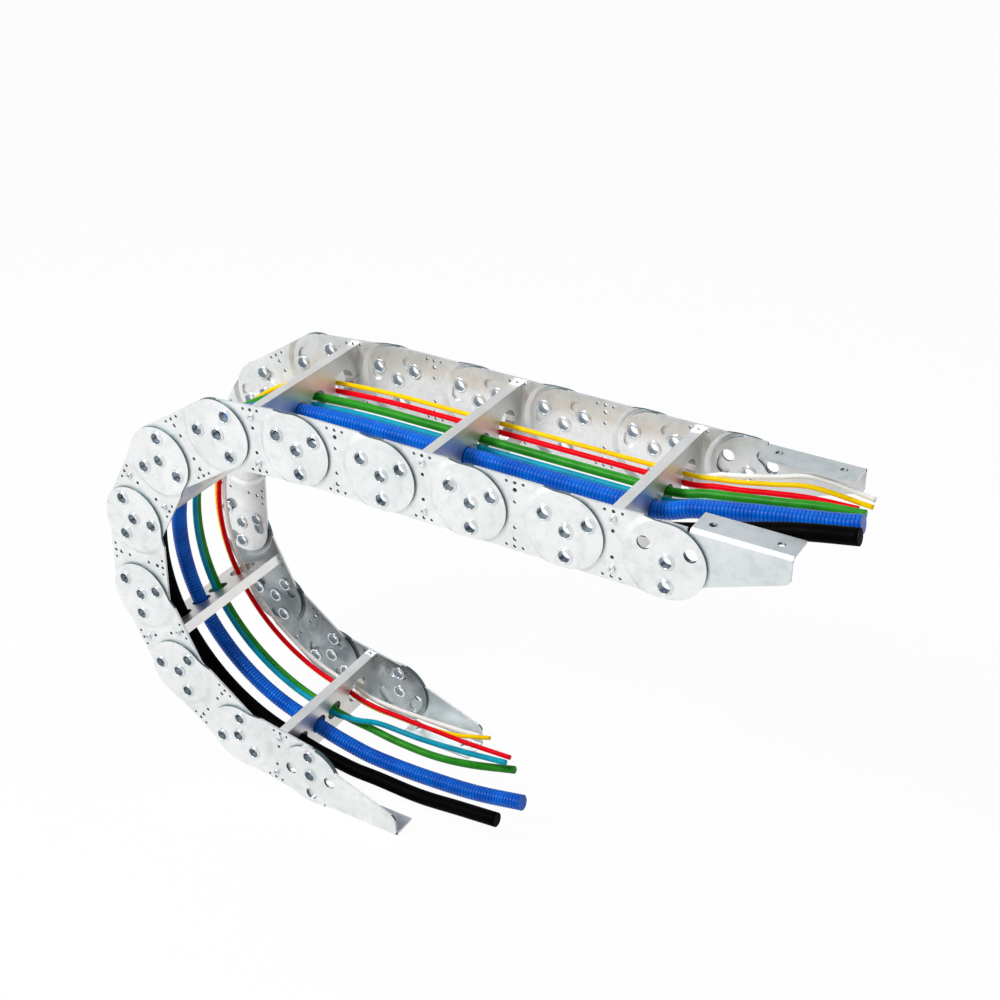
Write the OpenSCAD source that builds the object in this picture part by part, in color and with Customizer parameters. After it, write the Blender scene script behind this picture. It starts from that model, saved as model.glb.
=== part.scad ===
// Steel cable drag chain: eleven links with riveted joints, two end brackets, divider bars and hoses.
// Units are millimetres. +Z is up, +X runs towards the open ends and the base bracket stands on Z = 0.

/* [Chain] */
// Distance between neighbouring pivots
pitch = 125; // [100:5:160]
// Bend of one joint from straight to its stop, degrees
stop_bend = 27.5; // [20:0.5:27.5]
// Bend at the start of the curve in the stored pose, degrees
entry_bend = 5.1; // [0:0.1:20]
// Clear width between the two inner plate layers
inner_width = 217; // [160:1:300]

/* [Link plates] */
// Height of a link plate, equal to the diameter of its round ends
plate_height = 96; // [80:1:110]
// Thickness of the sheet that plates and brackets are stamped from
sheet = 3; // [2:0.5:4]
// Gap between the inner and the outer plate layer
layer_gap = 0.3; // [0.2:0.1:0.6]
// Radius around the pivot at which the joggle leaves the outer layer
joggle_start = 50.5; // [49:0.5:54]
// Radial run of the joggle between the two layers
joggle_run = 6.5; // [5:0.5:9]

/* [Joints] */
// Outer diameter of the hollow rivet shanks
rivet_diameter = 17; // [14:0.5:18]
// Bore of the hollow rivets
rivet_bore = 13.4; // [10:0.2:14]
// Diameter of the rolled rivet heads at the plate
rivet_head = 21; // [19:0.5:23]
// Height of the outer rivet heads
rivet_head_height = 2.4; // [1.5:0.1:3]
// Thickness of the rivet washers on the inside of the chain
rivet_washer = 1.6; // [1:0.1:2.5]
// Radius of the circle that the stop rivets sit on
stop_radius = 32.5; // [30:0.5:34]
// Radial clearance of a pivot rivet in the plate that turns on it
pivot_clearance = 0.06; // [0.03:0.01:0.1]
// Clearance between a stop rivet and the long sides of its slot
slot_clearance = 0.3; // [0.2:0.05:0.6]
// Extra slot angle beyond each end of the travel, degrees
slot_overrun = 0.4; // [0.3:0.1:1]
// Diameter of the open holes in the end discs
open_hole = 17.6; // [16:0.2:19]

/* [Brackets] */
// Length of a bracket from its pivot to its tip
bracket_length = 141; // [120:1:142]
// Distance from the pivot to the sloping edge of a bracket
slope_offset = 34.4; // [30:0.2:38]
// Angle of the sloping edge, degrees
slope_angle = 20; // [10:1:25]
// Radius of the rounded bracket corner
corner_radius = 9; // [4:1:14]
// Width of the mounting flange, measured from the outside of the bracket wall
flange_width = 40; // [30:1:50]
// Start of the mounting flange, measured from the pivot
flange_start = 24; // [22:1:40]
// Inner radius of the flange bend
bend_radius = 3; // [2:0.5:5]
// Width of the relief notch at the start of the flange
relief_width = 3; // [2:0.5:5]
// Diameter of the mounting holes
mount_hole = 9; // [6.5:0.5:11]
// First mounting hole, measured from the pivot
mount_start = 42; // [38:1:60]
// Distance between the mounting holes along a flange
mount_pitch = 78.5; // [50:0.5:80]
// Distance from the outside of the bracket wall to the mounting holes
mount_inset = 20; // [15:1:25]

/* [Divider bars] */
// Thickness of a divider bar along the chain
bar_thickness = 14; // [10:1:18]
// Height of a divider bar
bar_height = 84; // [70:1:90]
// Position of the bar and of the hole column, measured from the pivot
bar_station = 67; // [64:0.5:70]
// Width of the parting line between the two halves of a bar
parting_gap = 0.4; // [0.3:0.1:1]
// Diameter of the small holes in the link plates
small_hole = 4.6; // [3:0.1:5.5]
// Heights of the small holes above and below the middle of the plate
hole_rows = [17, 32.4, 42]; // [10:0.1:44]
// Distance from the hole column to the two side holes
side_hole_offset = 11; // [8:0.5:13]
// Diameter of the bar screws
screw_diameter = 5; // [4:0.5:6]
// Diameter of the bar screw heads
screw_head = 9; // [7:0.5:11]
// Height of the bar screw heads
screw_head_height = 3; // [2:0.5:5]
// Depth of the bar screws in the end of a bar
screw_depth = 16; // [10:1:25]
// Radial play of a bar screw in the link plate
screw_play = 0.3; // [0.1:0.05:0.5]
// Diameter of the hexagon socket in a screw head
screw_socket = 4.4; // [3:0.1:5]

/* [Hose lanes] */
// Diameter of the bore for the front hose
black_bore = 28; // [24:1:32]
// Diameter of the bore for the corrugated hose
blue_bore = 29; // [24:1:32]
// Diameter of the bore that the green and teal hoses share
green_bore = 30; // [26:1:32]
// Diameter of the bore that the thin hoses share
thin_bore = 40; // [32:1:44]
// Distance from the left plates to the middle of the front bore
black_bore_inset = 42.5; // [30:0.5:50]
// Sideways position of the middle of the second bore
blue_bore_lane = -24; // [-30:1:-20]
// Sideways position of the middle of the third bore
green_bore_lane = 13; // [10:1:20]
// Distance from the right plates to the middle of the bore for the thin hoses
thin_bore_inset = 38.5; // [30:0.5:50]

/* [Hoses] */
// Outer diameter of the black hose
black_diameter = 20; // [16:1:22]
// Outer diameter of the blue corrugated hose
blue_diameter = 22; // [18:1:24]
// Outer diameter of the green hose
green_diameter = 11; // [8:0.5:12]
// Outer diameter of the teal hose
teal_diameter = 8; // [6:0.5:9]
// Outer diameter of the red hose
red_diameter = 7; // [5:0.5:8]
// Outer diameter of the yellow hose
yellow_diameter = 6; // [4:0.5:8]
// Outer diameter of the white hose
white_diameter = 6; // [4:0.5:8]
// Least gap between a hose and the wall of its bore
hose_clearance = 1; // [0.5:0.1:2]

/* [Hidden] */
$fn = 64;
link_count = 11;
end_slack = 0.02;
// Straight edges stop this far inside the arcs they run into, so that every corner is a clean crossing.
edge_step = 0.15;
corner_steps = 8;
// The joggle ring laps this far into the flat layers on both of its sides.
lap = 0.8;
stop_angles = [30, 150, 270];
bracket_stop_angles = [270];
bracket_open_angles = [0, 90, 180];

zinc_colour = [0.82, 0.83, 0.84];
rivet_colour = [0.88, 0.89, 0.9];
alloy_colour = [0.78, 0.77, 0.75];
black_colour = [0.03, 0.03, 0.03];
blue_colour = [0.05, 0.25, 0.8];
green_colour = [0.2, 0.55, 0.15];
teal_colour = [0.05, 0.5, 0.6];
red_colour = [0.85, 0.04, 0.06];
yellow_colour = [0.95, 0.78, 0.03];
white_colour = [0.93, 0.93, 0.92];

end_radius = plate_height / 2;
inner_face = inner_width / 2;
inner_back = inner_face + sheet;
outer_face = inner_back + layer_gap;
outer_back = outer_face + sheet;
joggle_end = joggle_start + joggle_run;
rivet_radius = rivet_diameter / 2;
slot_half = rivet_radius + slot_clearance;
washer_face = inner_face - layer_gap;
washer_back = washer_face - rivet_washer;
head_back = outer_back + rivet_head_height;
screw_row = hole_rows[1];
flange_bend = bend_radius + sheet;
bar_half = inner_face - end_slack;

// Bends of joints 1 to 12 in the stored pose, from the upper bracket to the base bracket.
exit_bend = 180 - entry_bend - 6 * stop_bend;
bends = [0, 0, 0, 0, entry_bend, stop_bend, stop_bend, stop_bend, stop_bend, stop_bend, stop_bend, exit_bend];

// turn_of(k) is how far body k is turned from the upper run; body 0 is the upper bracket.
function turn_of(k) = k == 0 ? 0 : turn_of(k - 1) - bends[k - 1];
// chain_x and chain_z give pivot k, measured from pivot 1.
function chain_x(k) = k <= 1 ? 0 : chain_x(k - 1) - pitch * cos(turn_of(k - 1));
function chain_z(k) = k <= 1 ? 0 : chain_z(k - 1) + pitch * sin(turn_of(k - 1));
base_x = chain_x(link_count + 1);
base_z = chain_z(link_count + 1);
middle_x = -325.8;
function pivot_x(k) = chain_x(k) - middle_x;
function pivot_z(k) = chain_z(k) - base_z + end_radius;

// Turning a point [along, up] of body k into the shared frame.
function body_x(k, along, up) = pivot_x(max(k, 1)) + along * cos(turn_of(k)) + up * sin(turn_of(k));
function body_z(k, along, up) = pivot_z(max(k, 1)) - along * sin(turn_of(k)) + up * cos(turn_of(k));

// Middle of each bore, and the lane of each hose, which stays clear of the wall of its bore.
bore_lanes = [black_bore_inset - inner_face, blue_bore_lane, green_bore_lane, inner_face - thin_bore_inset];
function lane_in(i, shift, bore, diameter) =
  let (room = (bore - diameter) / 2 - hose_clearance)
  bore_lanes[i] + max(-room, min(room, shift));
black_lane = lane_in(0, 0, black_bore, black_diameter);
blue_lane = lane_in(1, 0, blue_bore, blue_diameter);
green_lane = lane_in(2, 5, green_bore, green_diameter);
teal_lane = lane_in(2, -6.5, green_bore, teal_diameter);
red_lane = lane_in(3, -13, thin_bore, red_diameter);
yellow_lane = lane_in(3, -7, thin_bore, yellow_diameter);
white_lane = lane_in(3, 3, thin_bore, white_diameter);
black_rise = 1;
blue_rise = 2;
green_rise = 4;
teal_rise = -2;
red_rise = -4;
yellow_rise = 5;
white_rise = -1;

// Free hose ends as [x, sideways shift, z], from pivot 1 for the upper ends and pivot 12 for the lower ones.
black_upper_end = [[-10, 1, 10], [50, 4, 27], [110, 7, 44], [150, 8, 53], [192, 9, 61]];
blue_upper_end = [[-10, 2, 16], [44, 4, 27], [100, 7, 36], [150, 9, 44], [181, 11, 50]];
green_upper_end = [[-15, 2, 13], [27, 4, 19], [75, 6, 26], [120, 9, 33], [170, 12, 36]];
teal_upper_end = [[-15, 2, 8], [27, 4, 15], [75, 6, 22], [120, 9, 28], [166, 12, 32]];
red_upper_end = [[-20, 1, 2], [12, 2, 6], [50, 4, 12], [95, 7, 17], [150, 10, 18]];
yellow_upper_end = [[-20, 1, 9], [10, 2, 13], [47, 4, 20], [95, 7, 28], [164, 12, 20]];
white_upper_end = [[-20, 1, 10], [10, 2, 16], [47, 4, 25], [95, 7, 36], [163, 12, 24]];
black_lower_end = [[25, 0, -6], [83, 0, -7], [150, 0, -8], [216, 0, -1], [274, 0, 5]];
blue_lower_end = [[15, 0, -10], [70, 0, -14], [140, 0, -12], [215, 0, -5], [289, 0, 10]];
green_lower_end = [[15, 0, -5], [61, 0, -10], [120, 0, -10], [180, 0, 0], [252, 0, 21]];
teal_lower_end = [[-10, 0, 12], [35, 0, 22], [104, 0, 23], [171, 0, 29], [245, 0, 39]];
red_lower_end = [[-15, 0, 2], [36, 0, 0], [90, 0, -1], [155, 0, -1], [222, 0, 2]];
yellow_lower_end = [[-20, 0, -7], [20, 1, -9], [70, 2, -9], [125, 2, -2], [183, 3, 15]];
white_lower_end = [[-20, 1, -1], [20, 2, -4], [70, 3, -4], [120, 4, -2], [160, 4, 2]];

// A flat outline drawn in X and Z, given thickness between two distances from the middle of the chain.
// Side +1 is the near (left) side of the chain, side -1 the far (right) side.
module side_slab(side, near, far) {
  translate([0, side > 0 ? -near : far, 0])
    rotate([90, 0, 0])
      linear_extrude(far - near)
        children();
}

module at_link(k) {
  translate([pivot_x(max(k, 1)), 0, pivot_z(max(k, 1))])
    rotate([0, turn_of(k), 0])
      children();
}

// Outline of a link plate from the disc end at the origin to the slotted end one pitch away.
module plate_outline() {
  circle(end_radius, $fn = 128);
  translate([-pitch, edge_step - end_radius])
    square([pitch, plate_height - 2 * edge_step]);
  translate([-pitch, 0])
    circle(end_radius, $fn = 128);
}

// Holes for rivets that are pressed into their plate.
module rivet_holes(angles) {
  circle(rivet_radius);
  for (a = angles)
    rotate(a)
      translate([stop_radius, 0])
        circle(rivet_radius);
}

// Open holes in the discs that carry brackets.
module open_holes(angles) {
  for (a = angles)
    rotate(a)
      translate([stop_radius, 0])
        circle(d = open_hole);
}

// One curved stop slot, from its start angle over the travel of the joint.
module stop_slot(start) {
  low = start - slot_overrun;
  high = start + stop_bend + slot_overrun;
  far = 2 * stop_radius;
  for (a = [low, high])
    rotate(a)
      translate([stop_radius, 0])
        circle(slot_half);
  difference() {
    circle(stop_radius + slot_half - edge_step / 2, $fn = 96);
    circle(stop_radius - slot_half + edge_step / 2, $fn = 96);
    rotate(low)
      translate([-far, -2 * far])
        square([2 * far, 2 * far]);
    rotate(high)
      translate([-far, 0])
        square([2 * far, 2 * far]);
  }
}

// The pivot hole and the stop slots of a slotted end.
module slotted_holes() {
  circle(rivet_radius + pivot_clearance);
  for (a = stop_angles)
    stop_slot(a);
}

// The column of small holes in the waist of a link.
module waist_holes() {
  for (s = [-1, 1])
    for (h = hole_rows)
      translate([-bar_station, s * h])
        circle(d = h == screw_row ? screw_diameter + 2 * screw_play : small_hole, $fn = 32);
  for (s = [-1, 1])
    for (t = [-1, 1])
      translate([-bar_station + t * side_hole_offset, s * hole_rows[2]])
        circle(d = small_hole * 0.85, $fn = 32);
}

// The sloping ring that takes the sheet from the outer layer down to the inner layer.
module joggle_ring(side) {
  rotate([side * 90, 0, 0])
    rotate_extrude($fn = 128)
      polygon([
        [joggle_start - lap, outer_face],
        [joggle_start - lap, outer_back],
        [joggle_start, outer_back],
        [joggle_end, inner_back],
        [joggle_end + lap, inner_back],
        [joggle_end + lap, inner_face],
        [joggle_end, inner_face],
        [joggle_start, outer_face]
      ]);
}

// A link plate: disc end in the outer layer, joggle, waist and slotted end in the inner layer.
module link_plate(side) {
  difference() {
    union() {
      side_slab(side, outer_face, outer_back)
        intersection() {
          plate_outline();
          circle(joggle_start, $fn = 128);
        }
      intersection() {
        joggle_ring(side);
        side_slab(side, inner_face - 1, outer_back + 1)
          plate_outline();
      }
      side_slab(side, inner_face, inner_back)
        difference() {
          plate_outline();
          circle(joggle_end, $fn = 128);
        }
    }
    side_slab(side, inner_face - 1, outer_back + 1) {
      rivet_holes(stop_angles);
      translate([-pitch, 0])
        slotted_holes();
      waist_holes();
    }
  }
}

// One hollow rivet along Y: inside washer, shank and rolled head outside.
module rivet(side) {
  length = head_back - washer_back;
  rotate([side * 90, 0, 0])
    difference() {
      union() {
        translate([0, 0, washer_back])
          cylinder(d = rivet_head, h = rivet_washer);
        translate([0, 0, washer_back])
          cylinder(r = rivet_radius, h = length - rivet_head_height);
        translate([0, 0, outer_back])
          cylinder(d1 = rivet_head, d2 = (rivet_head + rivet_bore) / 2, h = rivet_head_height);
      }
      translate([0, 0, washer_back - 1])
        cylinder(d = rivet_bore, h = length + 2);
    }
}

// The pivot rivet and the stop rivets on both sides of the chain.
module rivets(angles) {
  for (side = [-1, 1]) {
    rivet(side);
    for (a = angles)
      translate([stop_radius * cos(a), 0, stop_radius * sin(a)])
        rivet(side);
  }
}

// Bracket wall with the pivot at the origin and the tip along +X.
module bracket_outline() {
  centre_x = bracket_length - corner_radius;
  centre_z = (corner_radius - slope_offset + centre_x * sin(slope_angle)) / cos(slope_angle);
  foot_x = slope_offset * sin(slope_angle);
  foot_z = -slope_offset * cos(slope_angle);
  circle(end_radius, $fn = 128);
  difference() {
    polygon([
      [0, 0],
      [0, end_radius - edge_step],
      [bracket_length, end_radius - edge_step],
      for (i = [0:corner_steps])
        let (a = (slope_angle - 90) * i / corner_steps)
        [centre_x + corner_radius * cos(a), centre_z + corner_radius * sin(a)],
      [foot_x, foot_z]
    ]);
    translate([flange_start - relief_width, end_radius - flange_bend])
      square([bracket_length, plate_height]);
  }
}

// The flange and its bend, for a wall whose outside is at the given distance from the middle.
module flange(side, wall) {
  length = bracket_length - flange_start;
  edge = end_radius - flange_bend;
  scale([1, -side, 1])
    difference() {
      union() {
        translate([flange_start, wall - flange_width, end_radius - sheet])
          cube([length, flange_width - flange_bend, sheet]);
        translate([flange_start, wall - flange_bend, edge])
          rotate([90, 0, 90])
            intersection() {
              difference() {
                cylinder(r = flange_bend, h = length);
                translate([0, 0, -1])
                  cylinder(r = bend_radius, h = length + 2);
              }
              cube([flange_bend, flange_bend, length]);
            }
      }
      for (x = [mount_start, mount_start + mount_pitch])
        translate([x, wall - mount_inset, end_radius - sheet - 1])
          cylinder(d = mount_hole, h = sheet + 2, $fn = 48);
    }
}

// Upper bracket: a slotted end in the inner layer with a flange at the top.
module upper_bracket(side) {
  side_slab(side, inner_face, inner_back)
    difference() {
      bracket_outline();
      slotted_holes();
    }
  flange(side, inner_back);
}

// Base bracket: a riveted disc in the outer layer with the flange that it stands on.
module lower_bracket(side) {
  scale([-1, 1, 1])
    flange(side, outer_back);
  side_slab(side, outer_face, outer_back)
    difference() {
      scale([-1, 1])
        bracket_outline();
      rivet_holes(bracket_stop_angles);
      open_holes(bracket_open_angles);
    }
}

// One half of a divider bar, above (+1) or below (-1) the parting line.
module bar_half_solid(half) {
  low = half > 0 ? parting_gap / 2 : -bar_height / 2;
  bores = [black_bore, blue_bore, green_bore, thin_bore];
  difference() {
    translate([-bar_station - bar_thickness / 2, -bar_half, low])
      cube([bar_thickness, 2 * bar_half, bar_height / 2 - parting_gap / 2]);
    for (i = [0:3])
      translate([-bar_station - bar_thickness / 2 - 1, bore_lanes[i], 0])
        rotate([0, 90, 0])
          cylinder(d = bores[i], h = bar_thickness + 2, $fn = 96);
    for (side = [-1, 1])
      translate([-bar_station, side * (bar_half + 1), half * screw_row])
        rotate([side * 90, 0, 0])
          cylinder(d = screw_diameter, h = screw_depth + 2, $fn = 32);
  }
}

module crossbar() {
  bar_half_solid(1);
  bar_half_solid(-1);
}

// Screw through the link plate into the end of the bar, with a socket head outside.
module bar_screw() {
  difference() {
    union() {
      translate([0, 0, -sheet - screw_depth])
        cylinder(d = screw_diameter, h = sheet + screw_depth + 0.1, $fn = 32);
      cylinder(d = screw_head, h = screw_head_height, $fn = 48);
    }
    translate([0, 0, screw_head_height * 0.4])
      cylinder(d = screw_socket, h = screw_head_height, $fn = 24);
  }
}

module crossbar_screws() {
  for (side = [-1, 1])
    for (half = [-1, 1])
      translate([-bar_station, -side * inner_back, half * screw_row])
        rotate([side * 90, 0, 0])
          bar_screw();
}

// Points of a hose along link k to the next link, on the arc that the joint between them gives it.
arc_steps = 5;
function joint_points(k, rise) =
  let (bend = bends[k])
  bend < 0.5
    ? [for (i = [0:arc_steps - 1]) [body_x(k, -pitch / 2 - pitch * i / arc_steps, rise), body_z(k, -pitch / 2, rise)]]
    : let (radius = pitch / 2 / tan(bend / 2) + rise)
      [for (i = [0:arc_steps - 1])
        let (a = bend * i / arc_steps)
        [
          body_x(k, -pitch / 2 - radius * sin(a), rise - radius + radius * cos(a)),
          body_z(k, -pitch / 2 - radius * sin(a), rise - radius + radius * cos(a))
        ]];

// A smooth step and a smooth curve through four points.
function blend(a, b, c, d, t) =
  0.5 * (2 * b + (c - a) * t + (2 * a - 5 * b + 4 * c - d) * t * t + (3 * b - a - 3 * c + d) * t * t * t);
free_steps = 3;
function smooth(points) =
  let (last = len(points) - 1)
  [for (i = [0:last - 1])
    for (s = [0:free_steps - 1])
      blend(points[max(i - 1, 0)], points[i], points[i + 1], points[min(i + 2, last)], s / free_steps),
    points[last]];

// The whole route of a hose, from its lower free end through every link to its upper free end.
function hose_route(lane, rise, upper, lower) =
  let (
    held_points = [for (k = [1:link_count - 1]) for (p = joint_points(k, rise)) [p[0], lane, p[1]]],
    first = [body_x(1, -pitch / 2, rise), lane, body_z(1, -pitch / 2, rise)],
    last = [body_x(link_count, -pitch / 2, rise), lane, body_z(link_count, -pitch / 2, rise)],
    top = [for (i = [len(upper) - 1:-1:0]) [upper[i][0] + pivot_x(1), lane + upper[i][1], upper[i][2] + pivot_z(1)]],
    foot = [for (p = lower) [p[0] + pivot_x(link_count + 1), lane + p[1], p[2] + pivot_z(link_count + 1)]],
    upper_part = smooth(concat(top, [first])),
    lower_part = smooth(concat([last], foot))
  )
  concat([for (i = [0:len(upper_part) - 2]) upper_part[i]], held_points, lower_part);

function unit(v) = v / norm(v);

// A tube of the given diameter along the route. Routes run in planes close to X and Z.
module hose(diameter, lane, rise, upper, lower) {
  route = hose_route(lane, rise, upper, lower);
  count = len(route);
  sides = diameter > 9 ? 12 : 8;
  heading = [for (i = [0:count - 1]) unit(route[min(i + 1, count - 1)] - route[max(i - 1, 0)])];
  points = [for (i = [0:count - 1])
    let (across = unit(cross(heading[i], cross([0, 1, 0], heading[i]))), over = cross(heading[i], across))
    for (s = [0:sides - 1])
      route[i] + diameter / 2 * (cos(360 * s / sides) * across + sin(360 * s / sides) * over)];
  walls = [for (i = [0:count - 2]) for (s = [0:sides - 1])
    let (a = i * sides + s, b = i * sides + (s + 1) % sides)
    each [[a, b, b + sides], [a, b + sides, a + sides]]];
  cap_low = [[for (s = [sides - 1:-1:0]) s]];
  cap_high = [[for (s = [0:sides - 1]) (count - 1) * sides + s]];
  polyhedron(points, concat(walls, cap_low, cap_high), convexity = 8);
}

module upper_bracket_left() {
  color(zinc_colour)
    at_link(0)
      upper_bracket(1);
}

module upper_bracket_right() {
  color(zinc_colour)
    at_link(0)
      upper_bracket(-1);
}

module link_01_plate_left() {
  color(zinc_colour)
    at_link(1)
      link_plate(1);
}

module link_01_plate_right() {
  color(zinc_colour)
    at_link(1)
      link_plate(-1);
}

module link_01_rivets() {
  color(rivet_colour)
    at_link(1)
      rivets(bracket_stop_angles);
}

module link_01_crossbar() {
  color(alloy_colour)
    at_link(1)
      crossbar();
}

module link_01_screws() {
  color(rivet_colour)
    at_link(1)
      crossbar_screws();
}

module link_02_plate_left() {
  color(zinc_colour)
    at_link(2)
      link_plate(1);
}

module link_02_plate_right() {
  color(zinc_colour)
    at_link(2)
      link_plate(-1);
}

module link_02_rivets() {
  color(rivet_colour)
    at_link(2)
      rivets(stop_angles);
}

module link_03_plate_left() {
  color(zinc_colour)
    at_link(3)
      link_plate(1);
}

module link_03_plate_right() {
  color(zinc_colour)
    at_link(3)
      link_plate(-1);
}

module link_03_rivets() {
  color(rivet_colour)
    at_link(3)
      rivets(stop_angles);
}

module link_03_crossbar() {
  color(alloy_colour)
    at_link(3)
      crossbar();
}

module link_03_screws() {
  color(rivet_colour)
    at_link(3)
      crossbar_screws();
}

module link_04_plate_left() {
  color(zinc_colour)
    at_link(4)
      link_plate(1);
}

module link_04_plate_right() {
  color(zinc_colour)
    at_link(4)
      link_plate(-1);
}

module link_04_rivets() {
  color(rivet_colour)
    at_link(4)
      rivets(stop_angles);
}

module link_05_plate_left() {
  color(zinc_colour)
    at_link(5)
      link_plate(1);
}

module link_05_plate_right() {
  color(zinc_colour)
    at_link(5)
      link_plate(-1);
}

module link_05_rivets() {
  color(rivet_colour)
    at_link(5)
      rivets(stop_angles);
}

module link_05_crossbar() {
  color(alloy_colour)
    at_link(5)
      crossbar();
}

module link_05_screws() {
  color(rivet_colour)
    at_link(5)
      crossbar_screws();
}

module link_06_plate_left() {
  color(zinc_colour)
    at_link(6)
      link_plate(1);
}

module link_06_plate_right() {
  color(zinc_colour)
    at_link(6)
      link_plate(-1);
}

module link_06_rivets() {
  color(rivet_colour)
    at_link(6)
      rivets(stop_angles);
}

module link_07_plate_left() {
  color(zinc_colour)
    at_link(7)
      link_plate(1);
}

module link_07_plate_right() {
  color(zinc_colour)
    at_link(7)
      link_plate(-1);
}

module link_07_rivets() {
  color(rivet_colour)
    at_link(7)
      rivets(stop_angles);
}

module link_07_crossbar() {
  color(alloy_colour)
    at_link(7)
      crossbar();
}

module link_07_screws() {
  color(rivet_colour)
    at_link(7)
      crossbar_screws();
}

module link_08_plate_left() {
  color(zinc_colour)
    at_link(8)
      link_plate(1);
}

module link_08_plate_right() {
  color(zinc_colour)
    at_link(8)
      link_plate(-1);
}

module link_08_rivets() {
  color(rivet_colour)
    at_link(8)
      rivets(stop_angles);
}

module link_09_plate_left() {
  color(zinc_colour)
    at_link(9)
      link_plate(1);
}

module link_09_plate_right() {
  color(zinc_colour)
    at_link(9)
      link_plate(-1);
}

module link_09_rivets() {
  color(rivet_colour)
    at_link(9)
      rivets(stop_angles);
}

module link_09_crossbar() {
  color(alloy_colour)
    at_link(9)
      crossbar();
}

module link_09_screws() {
  color(rivet_colour)
    at_link(9)
      crossbar_screws();
}

module link_10_plate_left() {
  color(zinc_colour)
    at_link(10)
      link_plate(1);
}

module link_10_plate_right() {
  color(zinc_colour)
    at_link(10)
      link_plate(-1);
}

module link_10_rivets() {
  color(rivet_colour)
    at_link(10)
      rivets(stop_angles);
}

module link_11_plate_left() {
  color(zinc_colour)
    at_link(11)
      link_plate(1);
}

module link_11_plate_right() {
  color(zinc_colour)
    at_link(11)
      link_plate(-1);
}

module link_11_rivets() {
  color(rivet_colour)
    at_link(11)
      rivets(stop_angles);
}

module link_11_crossbar() {
  color(alloy_colour)
    at_link(11)
      crossbar();
}

module link_11_screws() {
  color(rivet_colour)
    at_link(11)
      crossbar_screws();
}

module lower_bracket_left() {
  color(zinc_colour)
    at_link(link_count + 1)
      lower_bracket(1);
}

module lower_bracket_right() {
  color(zinc_colour)
    at_link(link_count + 1)
      lower_bracket(-1);
}

module lower_bracket_rivets() {
  color(rivet_colour)
    at_link(link_count + 1)
      rivets(bracket_stop_angles);
}

module hose_black() {
  color(black_colour)
    hose(black_diameter, black_lane, black_rise, black_upper_end, black_lower_end);
}

module hose_blue() {
  color(blue_colour)
    hose(blue_diameter, blue_lane, blue_rise, blue_upper_end, blue_lower_end);
}

module hose_green() {
  color(green_colour)
    hose(green_diameter, green_lane, green_rise, green_upper_end, green_lower_end);
}

module hose_teal() {
  color(teal_colour)
    hose(teal_diameter, teal_lane, teal_rise, teal_upper_end, teal_lower_end);
}

module hose_red() {
  color(red_colour)
    hose(red_diameter, red_lane, red_rise, red_upper_end, red_lower_end);
}

module hose_yellow() {
  color(yellow_colour)
    hose(yellow_diameter, yellow_lane, yellow_rise, yellow_upper_end, yellow_lower_end);
}

module hose_white() {
  color(white_colour)
    hose(white_diameter, white_lane, white_rise, white_upper_end, white_lower_end);
}

upper_bracket_left();
upper_bracket_right();
link_01_plate_left();
link_01_plate_right();
link_01_rivets();
link_01_crossbar();
link_01_screws();
link_02_plate_left();
link_02_plate_right();
link_02_rivets();
link_03_plate_left();
link_03_plate_right();
link_03_rivets();
link_03_crossbar();
link_03_screws();
link_04_plate_left();
link_04_plate_right();
link_04_rivets();
link_05_plate_left();
link_05_plate_right();
link_05_rivets();
link_05_crossbar();
link_05_screws();
link_06_plate_left();
link_06_plate_right();
link_06_rivets();
link_07_plate_left();
link_07_plate_right();
link_07_rivets();
link_07_crossbar();
link_07_screws();
link_08_plate_left();
link_08_plate_right();
link_08_rivets();
link_09_plate_left();
link_09_plate_right();
link_09_rivets();
link_09_crossbar();
link_09_screws();
link_10_plate_left();
link_10_plate_right();
link_10_rivets();
link_11_plate_left();
link_11_plate_right();
link_11_rivets();
link_11_crossbar();
link_11_screws();
lower_bracket_left();
lower_bracket_right();
lower_bracket_rivets();
hose_black();
hose_blue();
hose_green();
hose_teal();
hose_red();
hose_yellow();
hose_white();
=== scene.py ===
"""Looks of the steel cable drag chain: finishes, rolled rivets, hoses, studio and camera. Metres, +Z up."""

import math

import bmesh
import bpy
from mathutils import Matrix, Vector


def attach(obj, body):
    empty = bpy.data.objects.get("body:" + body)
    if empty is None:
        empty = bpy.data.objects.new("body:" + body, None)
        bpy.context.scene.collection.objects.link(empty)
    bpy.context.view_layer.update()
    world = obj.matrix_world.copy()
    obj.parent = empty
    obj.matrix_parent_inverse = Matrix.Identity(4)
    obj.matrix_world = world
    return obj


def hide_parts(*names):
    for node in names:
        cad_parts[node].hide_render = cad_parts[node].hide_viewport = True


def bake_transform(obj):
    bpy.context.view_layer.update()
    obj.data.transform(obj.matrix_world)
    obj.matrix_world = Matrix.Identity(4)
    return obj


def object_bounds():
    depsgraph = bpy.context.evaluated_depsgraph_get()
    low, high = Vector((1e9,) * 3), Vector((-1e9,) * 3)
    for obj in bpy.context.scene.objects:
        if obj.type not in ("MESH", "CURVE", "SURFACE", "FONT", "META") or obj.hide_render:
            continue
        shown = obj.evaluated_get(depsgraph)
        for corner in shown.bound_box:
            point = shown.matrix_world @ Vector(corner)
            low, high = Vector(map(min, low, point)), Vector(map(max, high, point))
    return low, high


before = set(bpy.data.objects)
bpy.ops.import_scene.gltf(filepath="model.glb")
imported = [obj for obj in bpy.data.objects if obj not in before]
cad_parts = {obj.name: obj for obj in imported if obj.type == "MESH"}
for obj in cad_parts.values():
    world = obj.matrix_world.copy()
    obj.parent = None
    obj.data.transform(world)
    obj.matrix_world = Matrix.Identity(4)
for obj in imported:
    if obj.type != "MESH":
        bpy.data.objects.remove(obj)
cad_low, cad_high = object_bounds()

MM = 0.001

# ---------------------------------------------------------------- chain, as in the CAD

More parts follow.
